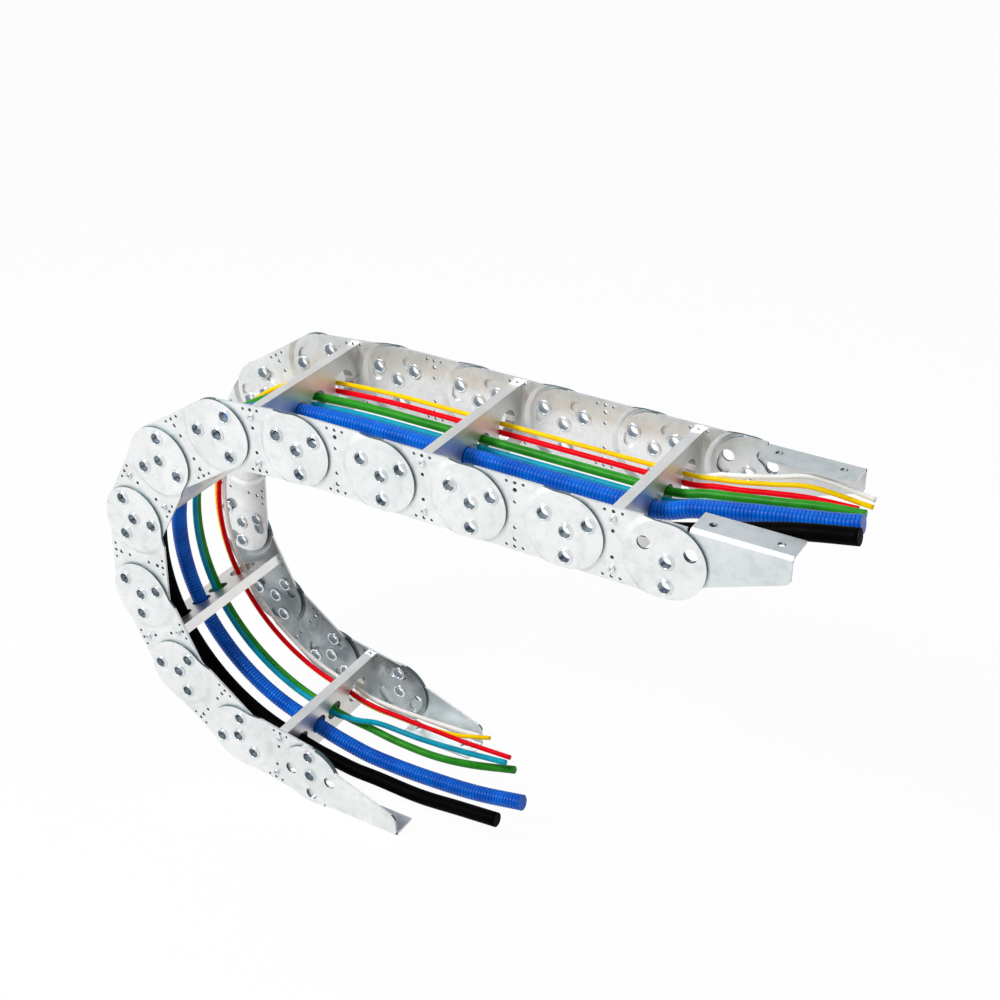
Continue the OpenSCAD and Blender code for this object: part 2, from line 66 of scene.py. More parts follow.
PITCH = 125 * MM
END_RADIUS = 48 * MM
LINK_COUNT = 11
BENDS = [0, 0, 0, 0, 5.1, 27.5, 27.5, 27.5, 27.5, 27.5, 27.5, 9.9]
MIDDLE_X = -325.8 * MM
HALF_LINK = PITCH / 2

INNER_FACE = 108.5 * MM
SHEET = 3 * MM
LAYER_GAP = 0.3 * MM
OUTER_BACK = INNER_FACE + 2 * SHEET + LAYER_GAP
WASHER_FACE = INNER_FACE - LAYER_GAP
STOP_RADIUS = 32.5 * MM
STOP_ANGLES = [30, 150, 270]
BRACKET_STOP_ANGLES = [270]


def turn_of(link):
    """How far a link is turned from the upper run, in radians. Link 0 is the upper bracket."""
    return -math.radians(sum(BENDS[:link]))


def chain_point(pivot):
    """Place of a pivot in X and Z, measured from pivot 1."""
    x, z = 0.0, 0.0
    for link in range(1, pivot):
        x -= PITCH * math.cos(turn_of(link))
        z += PITCH * math.sin(turn_of(link))
    return x, z


BASE_Z = chain_point(LINK_COUNT + 1)[1]


def pivot_point(pivot):
    """Place of a pivot in the shared frame, in the middle of the chain's width."""
    x, z = chain_point(pivot)
    return Vector((x - MIDDLE_X, 0, z - BASE_Z + END_RADIUS))


# Link 0, the upper bracket, turns about pivot 1 as link 1 does.
PIVOTS = [pivot_point(max(pivot, 1)) for pivot in range(LINK_COUNT + 2)]


def direction(link):
    """The directions along and up of a link, in the shared frame."""
    turn = turn_of(link)
    along = Vector((math.cos(turn), 0, -math.sin(turn)))
    up = Vector((math.sin(turn), 0, math.cos(turn)))
    return along, up


def body_point(link, along, up, lane=0.0):
    """A point given along and up from the pivot of a link, at a sideways place."""
    ahead, above = direction(link)
    return PIVOTS[link] + ahead * along + above * up + Vector((0, lane, 0))


def around(step, steps):
    """Cosine and sine of one of the equal steps round a circle."""
    angle = 2 * math.pi * step / steps
    return math.cos(angle), math.sin(angle)


def place_mesh(name, mesh):
    """Puts a bmesh in the scene as an object, with the normals of its faces made consistent."""
    bmesh.ops.recalc_face_normals(mesh, faces=mesh.faces)
    data = bpy.data.meshes.new(name)
    mesh.to_mesh(data)
    mesh.free()
    piece = bpy.data.objects.new(name, data)
    bpy.context.scene.collection.objects.link(piece)
    return piece


# ---------------------------------------------------------------- material helpers

# A noise stays between these two values over most of a surface.
NOISE_LOW = 0.3
NOISE_HIGH = 0.7


class Nodes:
    """A short way to write a material's nodes."""

    def __init__(self, name):
        self.material = bpy.data.materials.new(name)
        self.material.use_nodes = True
        self.tree = self.material.node_tree
        self.shader = self.tree.nodes["Principled BSDF"]
        self.coordinates = self.add("ShaderNodeTexCoord").outputs["Object"]

    def add(self, kind, **settings):
        node = self.tree.nodes.new(kind)
        for key, value in settings.items():
            setattr(node, key, value)
        return node

    def link(self, output, socket):
        self.tree.links.new(output, socket)

    def mapped(self, scale, turn=(0, 0, 0)):
        """Object coordinates with another scale on each axis."""
        mapping = self.add("ShaderNodeMapping")
        mapping.inputs["Scale"].default_value = scale
        mapping.inputs["Rotation"].default_value = turn
        self.link(self.coordinates, mapping.inputs["Vector"])
        return mapping.outputs["Vector"]

    def noise(self, scale, detail, roughness, vector=None, distortion=0.0):
        node = self.add("ShaderNodeTexNoise")
        node.inputs["Scale"].default_value = scale
        node.inputs["Detail"].default_value = detail
        node.inputs["Roughness"].default_value = roughness
        node.inputs["Distortion"].default_value = distortion
        self.link(vector or self.coordinates, node.inputs["Vector"])
        return node.outputs["Fac"]

    def ramp(self, factor, first, second):
        """Colours along a factor, given as two (position, colour) pairs."""
        node = self.add("ShaderNodeValToRGB")
        ramp = node.color_ramp
        ramp.interpolation = "EASE"
        for element, (position, colour) in zip(ramp.elements, (first, second)):
            element.position = position
            element.color = (*colour, 1)
        self.link(factor, node.inputs["Fac"])
        return node.outputs["Color"]

    def tones(self, factor, light, dark):
        """From dark to light, as factor goes over the middle of a noise."""
        return self.ramp(factor, (NOISE_LOW, dark), (NOISE_HIGH, light))

    def spread(self, factor, limits):
        """A number between two limits, as factor goes over the middle of a noise."""
        node = self.add("ShaderNodeMapRange")
        node.inputs["From Min"].default_value = NOISE_LOW
        node.inputs["From Max"].default_value = NOISE_HIGH
        node.inputs["To Min"].default_value = limits[0]
        node.inputs["To Max"].default_value = limits[1]
        self.link(factor, node.inputs["Value"])
        return node.outputs["Result"]

    def mix(self, factor, first, second, blend="MIX"):
        """Mixes two outputs by a fixed factor. Sockets 6, 7 and 2 are the Mix node's colours."""
        node = self.add("ShaderNodeMix", data_type="RGBA", blend_type=blend)
        node.inputs["Factor"].default_value = factor
        self.link(first, node.inputs[6])
        self.link(second, node.inputs[7])
        return node.outputs[2]

    def bump(self, height, distance, strength, normal=None):
        node = self.add("ShaderNodeBump")
        node.inputs["Strength"].default_value = strength
        node.inputs["Distance"].default_value = distance
        self.link(height, node.inputs["Height"])
        if normal is not None:
            self.link(normal, node.inputs["Normal"])
        return node.outputs["Normal"]

    def set(self, **values):
        """Sets or links sockets of the shader by their names, with _ for a space."""
        for key, value in values.items():
            socket = self.shader.inputs[key.replace("_", " ")]
            if isinstance(value, bpy.types.NodeSocket):
                self.link(value, socket)
            elif isinstance(value, tuple):
                socket.default_value = (*value, 1)
            else:
                socket.default_value = value
        return self.material


def zinc(name, light, dark, roughness, mottle=0.6):
    """Zinc plating: cloudy tone, patches of another gloss, fine grain and a few handling scratches."""
    n = Nodes(name)
    clouds = n.noise(14, 4, 0.6, distortion=0.4)
    patches = n.noise(70, 5, 0.65)
    grain = n.noise(1400, 2, 0.5)
    scratches = n.noise(1, 2, 0.5, n.mapped((260, 40, 14), (0, math.radians(24), 0)))
    speck = n.ramp(patches, (0.36, (0.84, 0.86, 0.875)), (0.52, (1, 1, 1)))
    colour = n.mix(mottle, n.tones(clouds, light, dark), speck, "MULTIPLY")
    rough = n.spread(n.mix(0.4, patches, scratches), roughness)
    surface = n.bump(grain, 0.00003, 0.4, n.bump(clouds, 0.0002, 0.2))
    return n.set(Base_Color=colour, Metallic=0.7, Roughness=rough, Normal=surface)


def brushed(name, light, dark, scale, roughness):
    """Aluminium with saw and polish marks, finer along the axes with a large scale."""
    n = Nodes(name)
    marks = n.noise(1, 4, 0.65, n.mapped(scale))
    clouds = n.noise(24, 3, 0.5)
    colour = n.tones(n.mix(0.7, marks, clouds), light, dark)
    rough = n.spread(n.mix(0.6, clouds, marks), roughness)
    surface = n.bump(marks, 0.00004, 0.3, n.bump(clouds, 0.0002, 0.2))
    return n.set(Base_Color=colour, Metallic=1.0, Roughness=rough, Normal=surface)


def plastic(name, light, dark, roughness, gloss):
    """Hose jacket: slightly uneven colour and gloss, and a fine skin."""
    n = Nodes(name)
    clouds = n.noise(30, 3, 0.5)
    skin = n.noise(900, 2, 0.5)
    rough = n.spread(n.noise(80, 4, 0.6), roughness)
    surface = n.bump(skin, 0.00002, 0.5, n.bump(clouds, 0.0003, 0.2))
    colour = n.tones(clouds, light, dark)
    return n.set(Base_Color=colour, Roughness=rough, Normal=surface, IOR=1.45, Specular_IOR_Level=gloss)


# Each finish has a light and a dark tone and the two limits of its roughness.
SHEET_FACE = zinc("zinc_sheet_face", (0.92, 0.932, 0.927), (0.80, 0.822, 0.818), (0.34, 0.5))
# Darker zinc for the inner sides of the far plates inside the lower loop: a painted shade.
SHEET_SHADE = zinc("zinc_sheet_painted_shade_inside_loop", (0.47, 0.515, 0.53), (0.17, 0.20, 0.215), (0.28, 0.44), 0.75)
# Darker zinc for the far wall of the lower bracket: a painted shade.
BRACKET_SHADE = zinc("zinc_painted_shade_far_bracket", (0.60, 0.65, 0.67), (0.38, 0.43, 0.445), (0.3, 0.44), 0.5)
# Darker copies of the sheet zinc for the upper bracket's wall and for its upward flange faces: a painted
# shade.
BRACKET_SIDE_SHADE = zinc("zinc_painted_shade_bracket_wall", (0.80, 0.835, 0.85), (0.73, 0.765, 0.78), (0.34, 0.5))
BRACKET_TOP_SHADE = zinc("zinc_painted_shade_bracket_flange", (0.60, 0.635, 0.65), (0.54, 0.575, 0.59), (0.34, 0.5))
# Dark zinc for disc rims and hole walls: a painted shade of the gaps between layers and of the holes.
SHEET_GAP_SHADE = zinc("zinc_painted_shade_rims_and_holes", (0.13, 0.19, 0.21), (0.06, 0.10, 0.12), (0.4, 0.6))
SHEET_RIM = zinc("zinc_straight_edge", (0.80, 0.81, 0.82), (0.62, 0.65, 0.68), (0.3, 0.5))
RIVET_STEEL = zinc("rivet_rolled_steel", (0.86, 0.88, 0.89), (0.66, 0.70, 0.73), (0.16, 0.30))
# Darker steel inside the rivet bores: a painted shade in the hollow.
RIVET_HOLLOW_SHADE = zinc("rivet_painted_shade_bore", (0.34, 0.41, 0.46), (0.20, 0.26, 0.31), (0.2, 0.38))
SCREW_STEEL = zinc("screw_steel", (0.84, 0.85, 0.86), (0.64, 0.66, 0.69), (0.16, 0.32))
BAR_ALLOY = brushed(
    "bar_satin_alloy", (0.70, 0.695, 0.68), (0.58, 0.575, 0.56), (90, 14, 400), (0.34, 0.46)
)
# Lighter alloy for the long narrow edges of the bars: painted light.
BAR_NARROW_LIGHT = brushed(
    "bar_painted_light_edge", (0.90, 0.895, 0.88), (0.80, 0.79, 0.775), (90, 14, 90), (0.3, 0.42)
)
# Darker alloy for the bores and other curved faces of the bars: a painted shade.
BAR_HOLLOW_SHADE = brushed(
    "bar_painted_shade_bore", (0.42, 0.41, 0.40), (0.26, 0.26, 0.26), (160, 900, 160), (0.3, 0.5)
)
# Hose jackets have their gloss as a last number.
TUBE_ROUGHNESS = (0.26, 0.4)
HOSE_FINISHES = {
    "black": plastic(
        "hose_black_rubber", (0.0015, 0.0015, 0.0015), (0.0006, 0.0006, 0.0006), (0.4, 0.55), 0.02
    ),
    "blue": plastic("hose_blue_conduit", (0.0, 0.17, 0.80), (0.0, 0.10, 0.60), (0.2, 0.3), 0.2),
    "green": plastic("hose_green_tube", (0.03, 0.33, 0.016), (0.014, 0.22, 0.008), TUBE_ROUGHNESS, 0.15),
    "teal": plastic("hose_teal_tube", (0.0, 0.36, 0.50), (0.0, 0.25, 0.37), TUBE_ROUGHNESS, 0.14),
    "red": plastic("hose_red_tube", (0.95, 0.0, 0.012), (0.80, 0.0, 0.006), TUBE_ROUGHNESS, 0.06),
    "yellow": plastic("hose_yellow_tube", (1.0, 0.74, 0.0), (0.97, 0.58, 0.0), TUBE_ROUGHNESS, 0.08),
    "white": plastic("hose_white_tube", (0.97, 0.97, 0.96), (0.91, 0.91, 0.90), (0.3, 0.45), 0.2),
}
# Darker blue for the bottoms of the conduit's grooves: a painted shade in the creases.
BLUE_RIB_SHADE = plastic("hose_blue_painted_shade_groove", (0.0, 0.065, 0.42), (0.0, 0.04, 0.30), (0.3, 0.4), 0.1)

# ---------------------------------------------------------------- finishes of the CAD parts

# The far plates from this link on lie inside the lower loop, where they look darker; their inner sides get a
# darker zinc, a painted shade.
FIRST_SHADED_LINK = 9
# Distance from a link's rear pivot at which the walls of its curved slots lie.
SLOT_WALLS = (20 * MM, 44 * MM)
# Faces smaller than this, in square metres, belong to a rounded outline or to a hole.
ARC_FACE_AREA = 2e-5
HOLE_FACE_AREA = 1.2e-5
# How nearly a face looks along a direction to count as one of these, as a cosine.
FLAT_SIDE = 0.4
LONG_EDGE = 0.995
BRACKET_WALL = 0.95
BRACKET_FLAT = 0.97
BRACKET_SLOPE = 0.5
BAR_NARROW_EDGE = 0.98
BAR_FLAT_SIDE = 0.9
BAR_END = 0.98
SCREW_ROUNDING = 0.4 * MM
SCREW_WELD = 0.01 * MM
SCREW_EDGE_ANGLE = 34


def soften_screws(node):
    """Joins the faces of the screws to each other and rounds their edges a little."""
    weld = node.modifiers.new("weld", "WELD")
    weld.merge_threshold = SCREW_WELD
    bevel = node.modifiers.new("rounded_edges", "BEVEL")
    bevel.width = SCREW_ROUNDING
    bevel.segments = 2
    bevel.limit_method = "ANGLE"
    bevel.angle_limit = math.radians(SCREW_EDGE_ANGLE)
    bevel.use_clamp_overlap = False
    bevel.miter_outer = "MITER_ARC"
    bevel.harden_normals = False


def finish_node(name, materials, choose):
    """Gives a CAD node its materials; choose returns the material number of a face."""
    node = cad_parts[name]
    mesh = node.data
    mesh.materials.clear()
    for material in materials:
        mesh.materials.append(material)
    for face in mesh.polygons:
        face.material_index = choose(face)
        face.use_smooth = True
    return node


def plate_face(link, side):
    """Flat sides and slot walls are bright, rims and holes get a dark zinc that paints the shade of the gaps
    and hole walls, long edges are in between; the inner sides of far plates inside the lower loop get a
    painted shade.
    """
    up = direction(link)[1]
    rear = PIVOTS[link + 1]

    def choose(face):
        # The inner sides of the far plates inside the lower loop get the painted shade.
        if side == "right" and link >= FIRST_SHADED_LINK and face.normal.y < -FLAT_SIDE:
            return 3
        reach = Vector((face.center.x - rear.x, face.center.z - rear.z)).length
        if abs(face.normal.y) > FLAT_SIDE or SLOT_WALLS[0] < reach < SLOT_WALLS[1]:
            return 0
        return 2 if abs(face.normal.dot(up)) > LONG_EDGE and face.area > ARC_FACE_AREA else 1

    return choose


def bracket_finishes(link, side):
    """Finishes of the wall and the flange of a bracket; the darker zincs on the upper bracket and on the far
    wall of the lower bracket are a painted shade.
    """
    if link == 0:
        return BRACKET_SIDE_SHADE, BRACKET_TOP_SHADE
    # The far wall of the lower bracket gets the painted shade; the near wall and both flanges keep the plain
    # zinc.
    return BRACKET_SHADE if side == "right" else SHEET_FACE, SHEET_FACE


def bracket_face(face):
    """Hole walls get a dark zinc, a painted shade, and the cut outline is light; the wall and the upward
    flange faces have their own finish, which is a painted shade on the upper bracket and on the far wall of
    the lower bracket.
    """
    across, upward = abs(face.normal.y), abs(face.normal.z)
    if face.area < HOLE_FACE_AREA and across < BRACKET_WALL and upward < BRACKET_FLAT:
        return 1
    if across > BRACKET_WALL:
        return 3
    if face.normal.z > BRACKET_FLAT:
        return 4
    return 0 if max(across, upward) > BRACKET_SLOPE else 2


def bar_face(link):
    """The long narrow edges of a bar get a lighter alloy as painted light, its flat sides are satin, and its
    bores and other curved faces get a darker alloy as painted shade.
    """
    ahead, above = direction(link)

    def choose(face):
        if abs(face.normal.dot(above)) > BAR_NARROW_EDGE:
            return 2
        # Bores and other curved faces get the darker alloy, a painted shade.
        flat = abs(face.normal.dot(ahead)) > BAR_FLAT_SIDE or abs(face.normal.y) > BAR_END
        return 0 if flat else 1

    return choose


def any_face(face):
    """For a node with one material."""
    return 0


for side in ("left", "right"):
    for link in range(1, LINK_COUNT + 1):
        name = f"link_{link:02d}_plate_{side}"
        finish_node(name, [SHEET_FACE, SHEET_GAP_SHADE, SHEET_RIM, SHEET_SHADE], plate_face(link, side))
    for name, link in ((f"upper_bracket_{side}", 0), (f"lower_bracket_{side}", LINK_COUNT + 1)):
        finish_node(name, [SHEET_FACE, SHEET_GAP_SHADE, SHEET_RIM, *bracket_finishes(link, side)], bracket_face)

for link in range(1, LINK_COUNT + 1, 2):
    finish_node(f"link_{link:02d}_crossbar", [BAR_ALLOY, BAR_HOLLOW_SHADE, BAR_NARROW_LIGHT], bar_face(link))
    soften_screws(finish_node(f"link_{link:02d}_screws", [SCREW_STEEL], any_face))

# ---------------------------------------------------------------- rolled hollow rivets

# The bore is a little wider than in the CAD, as the photograph shows it.
BORE_RADIUS = 7.3 * MM
SHANK_RADIUS = 8.5 * MM
FLANGE_RADIUS = 10.5 * MM
HEAD_BACK = OUTER_BACK + 2.4 * MM
FLANGE_BACK = WASHER_FACE - 1.6 * MM
RIVET_STEPS = 40

# Half section of a rivet, from the inside mouth round the inside flange, along the shank, round the
# outside collar and back through the bore. Each point is a radius and how far it is grown, then a
# distance from the middle of the chain and how far it is moved outward; the growth and the move are in mm.
RIVET_SECTION = [
    (BORE_RADIUS, 0, FLANGE_BACK, 0.9),
    (BORE_RADIUS, 0.1, FLANGE_BACK, 0.3),
    (BORE_RADIUS, 0.5, FLANGE_BACK, 0),
    (SHANK_RADIUS, -0.4, FLANGE_BACK, 0),
    (FLANGE_RADIUS, -0.8, FLANGE_BACK, 0.4),
    (FLANGE_RADIUS, -0.1, FLANGE_BACK, 0.9),
    (FLANGE_RADIUS, 0, FLANGE_BACK, 1.3),
    (FLANGE_RADIUS, -0.1, WASHER_FACE, 0),
    (SHANK_RADIUS, 0, WASHER_FACE, 0),
    (SHANK_RADIUS, 0, OUTER_BACK, 0),
    (FLANGE_RADIUS, -0.1, OUTER_BACK, 0.05),
    (FLANGE_RADIUS, 0, OUTER_BACK, 0.35),
    (FLANGE_RADIUS, -0.2, OUTER_BACK, 0.7),
    (FLANGE_RADIUS, -0.9, OUTER_BACK, 0.95),
    (SHANK_RADIUS, 0.5, OUTER_BACK, 1.0),
    (SHANK_RADIUS, 0.15, OUTER_BACK, 1.2),
    (SHANK_RADIUS, 0, OUTER_BACK, 1.7),
    (SHANK_RADIUS, -0.15, HEAD_BACK, -0.25),
    (SHANK_RADIUS, -0.5, HEAD_BACK, 0),
    (BORE_RADIUS, 0.55, HEAD_BACK, 0),
    (BORE_RADIUS, 0.15, HEAD_BACK, -0.3),
    (BORE_RADIUS, 0, HEAD_BACK, -0.9),
]


def add_rivet(mesh, centre, side):
    """Turns the rivet section round a line through centre along Y. Side -1 is the left side of the chain."""
    rings = []
    for base_radius, growth, base, step_out in RIVET_SECTION:
        radius, distance = base_radius + growth * MM, base + step_out * MM
        ring = []
        for step in range(RIVET_STEPS):
            cosine, sine = around(step, RIVET_STEPS)
            place = centre + Vector((radius * cosine, side * distance, radius * sine))
            ring.append(mesh.verts.new(place))
        rings.append(ring)
    for index, ring in enumerate(rings):
        following = rings[(index + 1) % len(rings)]
        for step in range(RIVET_STEPS):
            after = (step + 1) % RIVET_STEPS
            corners = [ring[step], ring[after], following[after], following[step]]
            face = mesh.faces.new(corners if side > 0 else corners[::-1])
            face.smooth = True
            # The bore's wall gets the darker steel, a painted shade.
            face.material_index = 1 if index == len(rings) - 1 else 0


def rivet_set(name, link, angles, body, node):
    """The pivot rivets and the stop rivets of a link, on both sides of the chain."""
    mesh = bmesh.new()
    for side in (-1, 1):
        add_rivet(mesh, body_point(link, 0, 0), side)
        for angle in angles:
            turned = math.radians(angle)
            centre = body_point(link, STOP_RADIUS * math.cos(turned), STOP_RADIUS * math.sin(turned))
            add_rivet(mesh, centre, side)
    piece = place_mesh(name, mesh)
    piece.data.materials.append(RIVET_STEEL)
    piece.data.materials.append(RIVET_HOLLOW_SHADE)
    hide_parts(node)
    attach(piece, body)


for link in range(1, LINK_COUNT + 1):
    angles = BRACKET_STOP_ANGLES if link == 1 else STOP_ANGLES
    rivet_set(f"rivets_of_link_{link:02d}", link, angles, f"link_{link:02d}", f"link_{link:02d}_rivets")
rivet_set("rivets_of_base", LINK_COUNT + 1, BRACKET_STOP_ANGLES, "base", "lower_bracket_rivets")

# ---------------------------------------------------------------- hoses

# Lane, rise and diameter of each hose, and its free ends as (x, sideways shift, z) from pivot 1 and
# pivot 12, all in mm. The route is the one in the CAD.
HOSES = {
    "black": {
        "lane": -66, "rise": 1, "diameter": 20,
        "upper": [(-10, 1, 10), (50, 4, 27), (110, 7, 44), (150, 8, 53), (192, 9, 61)],
        "lower": [(25, 0, -6), (83, 0, -7), (150, 0, -8), (216, 0, -1), (274, 0, 5)],
    },
    "blue": {
        "lane": -24, "rise": 2, "diameter": 22,
        "upper": [(-10, 2, 16), (44, 4, 27), (100, 7, 36), (150, 9, 44), (181, 11, 50)],
        "lower": [(15, 0, -10), (70, 0, -14), (140, 0, -12), (215, 0, -5), (289, 0, 10)],
    },
    "green": {
        "lane": 18, "rise": 4, "diameter": 11,
        "upper": [(-15, 2, 13), (27, 4, 19), (75, 6, 26), (120, 9, 33), (170, 12, 36)],
        "lower": [(15, 0, -5), (61, 0, -10), (120, 0, -10), (180, 0, 0), (252, 0, 21)],
    },
    "teal": {
        "lane": 6.5, "rise": -2, "diameter": 8,
        "upper": [(-15, 2, 8), (27, 4, 15), (75, 6, 22), (120, 9, 28), (166, 12, 32)],
        "lower": [(-10, 0, 12), (35, 0, 22), (104, 0, 23), (171, 0, 29), (245, 0, 39)],
    },
    "red": {
        "lane": 57, "rise": -4, "diameter": 7,
        "upper": [(-20, 1, 2), (12, 2, 6), (50, 4, 12), (95, 7, 17), (150, 10, 18)],
        "lower": [(-15, 0, 2), (36, 0, 0), (90, 0, -1), (155, 0, -1), (222, 0, 2)],
    },
    "yellow": {
        "lane": 63, "rise": 5, "diameter": 6,
        "upper": [(-20, 1, 9), (10, 2, 13), (47, 4, 20), (95, 7, 28), (164, 12, 20)],
        "lower": [(-20, 0, -7), (20, 1, -9), (70, 2, -9), (125, 2, -2), (183, 3, 15)],
    },
    "white": {
        "lane": 73, "rise": -1, "diameter": 6,
        "upper": [(-20, 1, 10), (10, 2, 16), (47, 4, 25), (95, 7, 36), (163, 12, 24)],
        "lower": [(-20, 1, -1), (20, 2, -4), (70, 3, -4), (120, 4, -2), (160, 4, 2)],
    },
}
RIB_PITCH = 4.6 * MM
RIB_DEPTH = 0.6 * MM
# One rib as (share of the pitch, share of the depth); it starts and ends in the middle of a crest.
RIB = [(0.0, 0.0), (0.2, 0.12), (0.36, 0.8), (0.5, 1.0), (0.64, 0.8), (0.8, 0.12)]
# Steps of a rib that are the bottom of its groove; on the blue conduit their faces get a darker blue, a
# painted shade.
GROOVE_STEPS = (2, 3)
RING_PITCH = 4 * MM
CURVE_STEPS = 16
ARC_STEPS = 32
THICK_RADIUS = 9 * MM
THICK_SIDES = 32
THIN_SIDES = 20
END_ROUNDING = 0.5 * MM
END_BULGE = 0.1 * MM
# The cut end closes on a ring this small, as a share of the radius.
END_CENTRE = 0.02


def catmull(a, b, c, d, t):
    """A point of the smooth curve between b and c."""
    return 0.5 * (2 * b + (c - a) * t + (2 * a - 5 * b + 4 * c - d) * t**2 + (3 * b - a - 3 * c + d) * t**3)


def smooth_curve(points):
    """A smooth curve through the points, without the first and the last, which only give its direction."""
    curve = []
    for index in range(1, len(points) - 2):
        for step in range(CURVE_STEPS):
            curve.append(catmull(*points[index - 1 : index + 3], step / CURVE_STEPS))
    return curve + [points[-2]]


def link_arc(link, rise, lane):
    """From the middle of a link to the middle of the next one, round the joint between them."""
    bend = math.radians(BENDS[link])
    if bend == 0:
        start = body_point(link, -HALF_LINK, rise, lane)
        end = body_point(link + 1, -HALF_LINK, rise, lane)
        return [start.lerp(end, step / ARC_STEPS) for step in range(ARC_STEPS + 1)]
    radius = HALF_LINK / math.tan(bend / 2) + rise
    points = []
    for step in range(ARC_STEPS + 1):
        angle = bend * step / ARC_STEPS
        back = -HALF_LINK - radius * math.sin(angle)
        points.append(body_point(link, back, rise - radius + radius * math.cos(angle), lane))
    return points


def free_end(origin, places, lane):
    """Points of a free end in the shared frame, from its places in mm."""
    return [origin + Vector((x * MM, lane + shift * MM, z * MM)) for x, shift, z in places]


def running_lengths(points):
    """Length along a line of points up to each of them."""
    lengths = [0.0]
    for before, after in zip(points, points[1:]):
        lengths.append(lengths[-1] + (after - before).length)
    return lengths


def resample(points, shares):
    """Points at the given shares of the length of a line of points."""
    lengths = running_lengths(points)
    result, index = [], 0
    for share in shares:
        wanted = share * lengths[-1]
        while index < len(points) - 2 and lengths[index + 1] < wanted:
            index += 1
        part = (wanted - lengths[index]) / max(lengths[index + 1] - lengths[index], 1e-9)
        result.append(points[index].lerp(points[index + 1], part))
    return result


def tube_rings(points, ribbed, radius):
    """Shares of the length and the radius there, for a smooth or a ribbed tube."""
    length = running_lengths(points)[-1]
    if not ribbed:
        count = max(8, round(length / RING_PITCH))
        return [(index / count, radius) for index in range(count + 1)]
    ribs = max(1, round(length / RIB_PITCH))
    rings = []
    for rib in range(ribs):
        rings += [((rib + share) / ribs, radius - RIB_DEPTH * depth) for share, depth in RIB]
    return rings + [(1.0, radius)]


def tube(name, points, radius, ribbed, first_heading, last_heading=None):
    """A tube round a line of points. Without a last heading it ends in a plain cut end."""
    rings = tube_rings(points, ribbed, radius)
    places = resample(points, [share for share, _ in rings])
    last = len(places) - 1
    sides = THICK_SIDES if radius > THICK_RADIUS else THIN_SIDES
    mesh = bmesh.new()
    loops = []

    def ring(place, heading, size):
        across = heading.cross(Vector((0, 1, 0)).cross(heading)).normalized()
        over = heading.cross(across)
        loop = []
        for side in range(sides):
            cosine, sine = around(side, sides)
            loop.append(mesh.verts.new(place + across * (size * cosine) + over * (size * sine)))
        loops.append(loop)

    heading = first_heading
    for index, place in enumerate(places):
        if index == last and last_heading is not None:
            heading = last_heading
        elif index > 0:
            heading = (places[min(index + 1, last)] - places[index - 1]).normalized()
        ring(place, heading, rings[index][1])
    outside = len(loops)
    if last_heading is None:
        end = places[-1] + heading * END_BULGE
        ring(end, heading, radius - END_ROUNDING)
        ring(end, heading, radius * END_CENTRE)
    for index, (loop, following) in enumerate(zip(loops, loops[1:])):
        groove = ribbed and index % len(RIB) in GROOVE_STEPS and index < outside - 1
        for side in range(sides):
            after = (side + 1) % sides
            face = mesh.faces.new([loop[side], loop[after], following[after], following[side]])
            face.smooth = index < outside
            face.material_index = 1 if groove else 0
    piece = place_mesh(name, mesh)
    first_face = piece.data.polygons[0]
    if first_face.normal.dot(first_face.center - places[0]) < 0:
        piece.data.flip_normals()
    return piece


def finish_hose(piece, hose, start, end):
    """Gives a length of hose its finish, hides the CAD hose and bakes its place into the mesh; start and end
    are not used.
    """
    piece.data.materials.append(HOSE_FINISHES[hose])
    # The blue conduit's groove faces get the painted shade.
    piece.data.materials.append(BLUE_RIB_SHADE if hose == "blue" else HOSE_FINISHES[hose])
    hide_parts(f"hose_{hose}")
    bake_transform(piece)
    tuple(start)
    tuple(end)


for hose, size in HOSES.items():
    lane, rise, radius = size["lane"] * MM, size["rise"] * MM, size["diameter"] / 2 * MM
    ribbed = hose == "blue"
    stations = [body_point(link, -HALF_LINK, rise, lane) for link in range(1, LINK_COUNT + 1)]
    for link in range(1, LINK_COUNT):
        name = f"hose_{hose}_over_joint_{link + 1:02d}"
        headings = -direction(link)[0], -direction(link + 1)[0]
        piece = tube(name, link_arc(link, rise, lane), radius, ribbed, *headings)
        finish_hose(piece, hose, stations[link - 1], stations[link])

    upper = free_end(PIVOTS[1], size["upper"], lane)
    guide = [stations[1], stations[0], *upper, 2 * upper[-1] - upper[-2]]
    piece = tube(f"hose_{hose}_upper_end", smooth_curve(guide), radius, ribbed, direction(1)[0])
    finish_hose(piece, hose, body_point(1, -HALF_LINK, 0), body_point(1, HALF_LINK, 0))

    lower = free_end(PIVOTS[LINK_COUNT + 1], size["lower"], lane)
    guide = [stations[-2], stations[-1], *lower, 2 * lower[-1] - lower[-2]]
    heading = -direction(LINK_COUNT)[0]
    piece = tube(f"hose_{hose}_lower_end", smooth_curve(guide), radius, ribbed, heading)
    joint = LINK_COUNT + 1
    finish_hose(piece, hose, stations[-1], body_point(joint, -HALF_LINK, 0))

# ---------------------------------------------------------------- studio

WHITE = (1, 1, 1, 1)
HALF_FLOOR = 6.0
# How much of the floor's colour is plain white where the camera or a reflection sees it.
FLOOR_GLOW = 0.96
# Strength of the room's light on matt surfaces and in reflections, and its tone overhead.
ROOM_MATT = 0.34
ROOM_GLOSSY = 1.0
ROOM_OVERHEAD = (0.62, 0.64, 0.66, 1)

floor_mesh = bpy.data.meshes.new("studio_floor")
corners = [(x * HALF_FLOOR, y * HALF_FLOOR, 0) for x, y in ((-1, -1), (1, -1), (1, 1), (-1, 1))]
floor_mesh.from_pydata(corners, [], [(0, 1, 2, 3)])
floor = bpy.data.objects.new("studio_floor", floor_mesh)
floor.location = (0, 0, -0.5 * MM)
bpy.context.scene.collection.objects.link(floor)

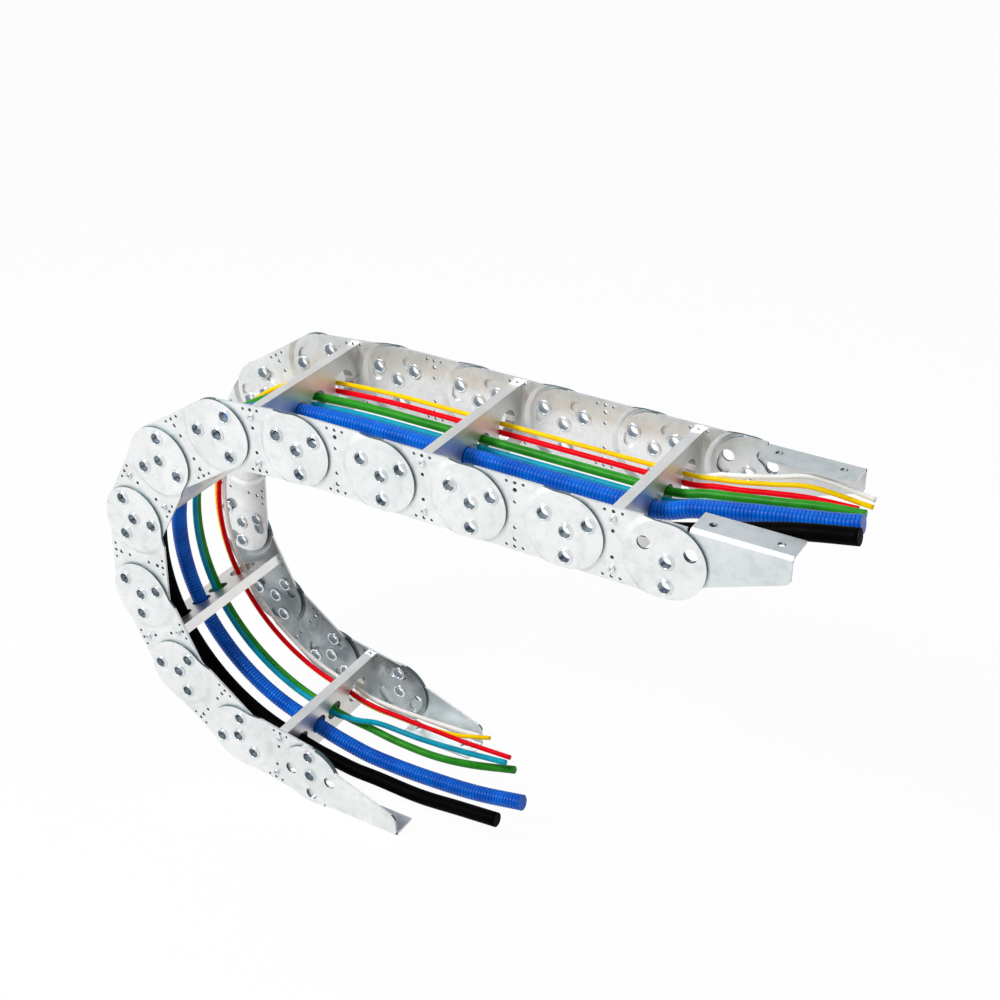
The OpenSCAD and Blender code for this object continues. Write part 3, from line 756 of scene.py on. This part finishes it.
paper = Nodes("studio_paper")
paper.set(Base_Color=(0.94, 0.94, 0.94), Roughness=0.9)
glow = paper.add("ShaderNodeEmission")
glow.inputs["Color"].default_value = WHITE
glow.inputs["Strength"].default_value = 1.0
floor_rays = paper.add("ShaderNodeLightPath")
seen = paper.add("ShaderNodeMath", operation="MAXIMUM")
paper.link(floor_rays.outputs["Is Camera Ray"], seen.inputs[0])
paper.link(floor_rays.outputs["Is Glossy Ray"], seen.inputs[1])
share = paper.add("ShaderNodeMath", operation="MULTIPLY")
share.inputs[1].default_value = FLOOR_GLOW
paper.link(seen.outputs[0], share.inputs[0])
blend = paper.add("ShaderNodeMixShader")
paper.link(share.outputs[0], blend.inputs["Fac"])
paper.link(paper.shader.outputs["BSDF"], blend.inputs[1])
paper.link(glow.outputs["Emission"], blend.inputs[2])
paper.link(blend.outputs["Shader"], paper.tree.nodes["Material Output"].inputs["Surface"])
floor_mesh.materials.append(paper.material)

world = bpy.data.worlds.new("studio")
bpy.context.scene.world = world
world.use_nodes = True
world_nodes, world_links = world.node_tree.nodes, world.node_tree.links
world_nodes.clear()
output = world_nodes.new("ShaderNodeOutputWorld")
backdrop = world_nodes.new("ShaderNodeBackground")
backdrop.inputs["Color"].default_value = WHITE
backdrop.inputs["Strength"].default_value = 1.0
room = world_nodes.new("ShaderNodeBackground")
world_rays = world_nodes.new("ShaderNodeLightPath")
direct = world_nodes.new("ShaderNodeMixShader")
world_links.new(world_rays.outputs["Is Camera Ray"], direct.inputs["Fac"])
level = world_nodes.new("ShaderNodeMapRange")
level.inputs["To Min"].default_value = ROOM_MATT
level.inputs["To Max"].default_value = ROOM_GLOSSY
world_links.new(world_rays.outputs["Is Glossy Ray"], level.inputs["Value"])
world_links.new(level.outputs["Result"], room.inputs["Strength"])
place = world_nodes.new("ShaderNodeTexCoord")
split = world_nodes.new("ShaderNodeSeparateXYZ")
heights = world_nodes.new("ShaderNodeValToRGB")
horizon, overhead = heights.color_ramp.elements
horizon.position = 0.05
horizon.color = WHITE
overhead.position = 0.5
overhead.color = ROOM_OVERHEAD
world_links.new(place.outputs["Generated"], split.inputs["Vector"])
world_links.new(split.outputs["Z"], heights.inputs["Fac"])
world_links.new(heights.outputs["Color"], room.inputs["Color"])
world_links.new(room.outputs["Background"], direct.inputs[1])
world_links.new(backdrop.outputs["Background"], direct.inputs[2])
world_links.new(direct.outputs["Shader"], output.inputs["Surface"])


def softbox(name, place, size, power):
    """A rectangular lamp that points at the middle of the part."""
    data = bpy.data.lights.new(name, "AREA")
    data.shape = "RECTANGLE"
    data.size, data.size_y = size
    data.energy = power
    lamp = bpy.data.objects.new(name, data)
    lamp.location = place
    target = (cad_low + cad_high) / 2
    lamp.rotation_euler = (Vector(target) - Vector(place)).to_track_quat("-Z", "Y").to_euler()
    bpy.context.scene.collection.objects.link(lamp)


softbox("key_softbox", (-1.2, -2.0, 2.8), (1.0, 0.8), 84)
softbox("top_softbox", (0.3, 0.6, 2.8), (1.4, 0.8), 16)

# ---------------------------------------------------------------- camera

# The photograph's camera, solved from the pivots and stop rivets that it shows.
camera_data = bpy.data.cameras.new("camera")
camera_data.lens = 58.36
camera_data.sensor_width = 36
camera_data.clip_end = 50
camera = bpy.data.objects.new("camera", camera_data)
camera.location = (0.9356, -1.4727, 1.52412)
camera.rotation_euler = (math.radians(59.399), math.radians(0.412), math.radians(30.863))
bpy.context.scene.collection.objects.link(camera)
bpy.context.scene.camera = camera
bpy.context.scene.view_settings.view_transform = "Standard"
